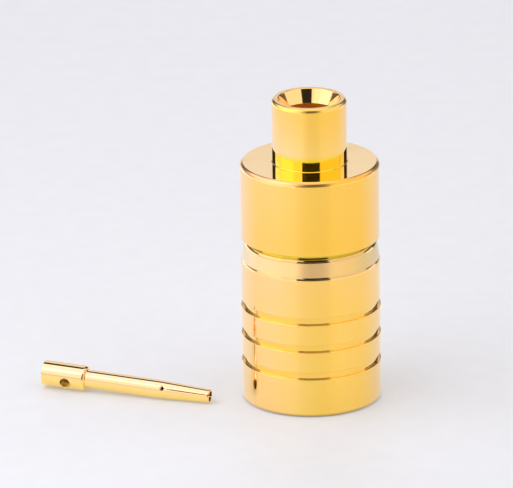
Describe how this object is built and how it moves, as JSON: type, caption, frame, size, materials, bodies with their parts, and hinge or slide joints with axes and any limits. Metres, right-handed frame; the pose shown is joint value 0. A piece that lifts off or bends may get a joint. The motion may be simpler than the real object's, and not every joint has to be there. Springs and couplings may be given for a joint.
{
  "type": "smb coaxial cable connector",
  "caption": "Straight gold-plated push-on coaxial cable connector standing on its mating face, with a countersunk solder tube, a grooved sleeve and a loose slotted centre contact.",
  "frame": {"origin": "centre of the mating face", "axes": "+Z along the connector's axis, from the mating face up to the cable entry; +X to the right and -Y toward the viewer in the picture"},
  "size_m": [0.0156, 0.0064, 0.0142],
  "materials": {
    "gold_body": "polished gold plating",
    "gold_sleeve": "polished gold plating",
    "gold_spring": "gold plating",
    "white_insulator": "waxy white",
    "gold_contact": "polished gold plating"
  },
  "bodies": {
    "root": {"rear_body": "gold_body", "front_sleeve": "gold_sleeve", "spring_contact": "gold_spring", "insulator": "white_insulator", "centre_contact": "gold_contact"}
  },
  "joints": []
}
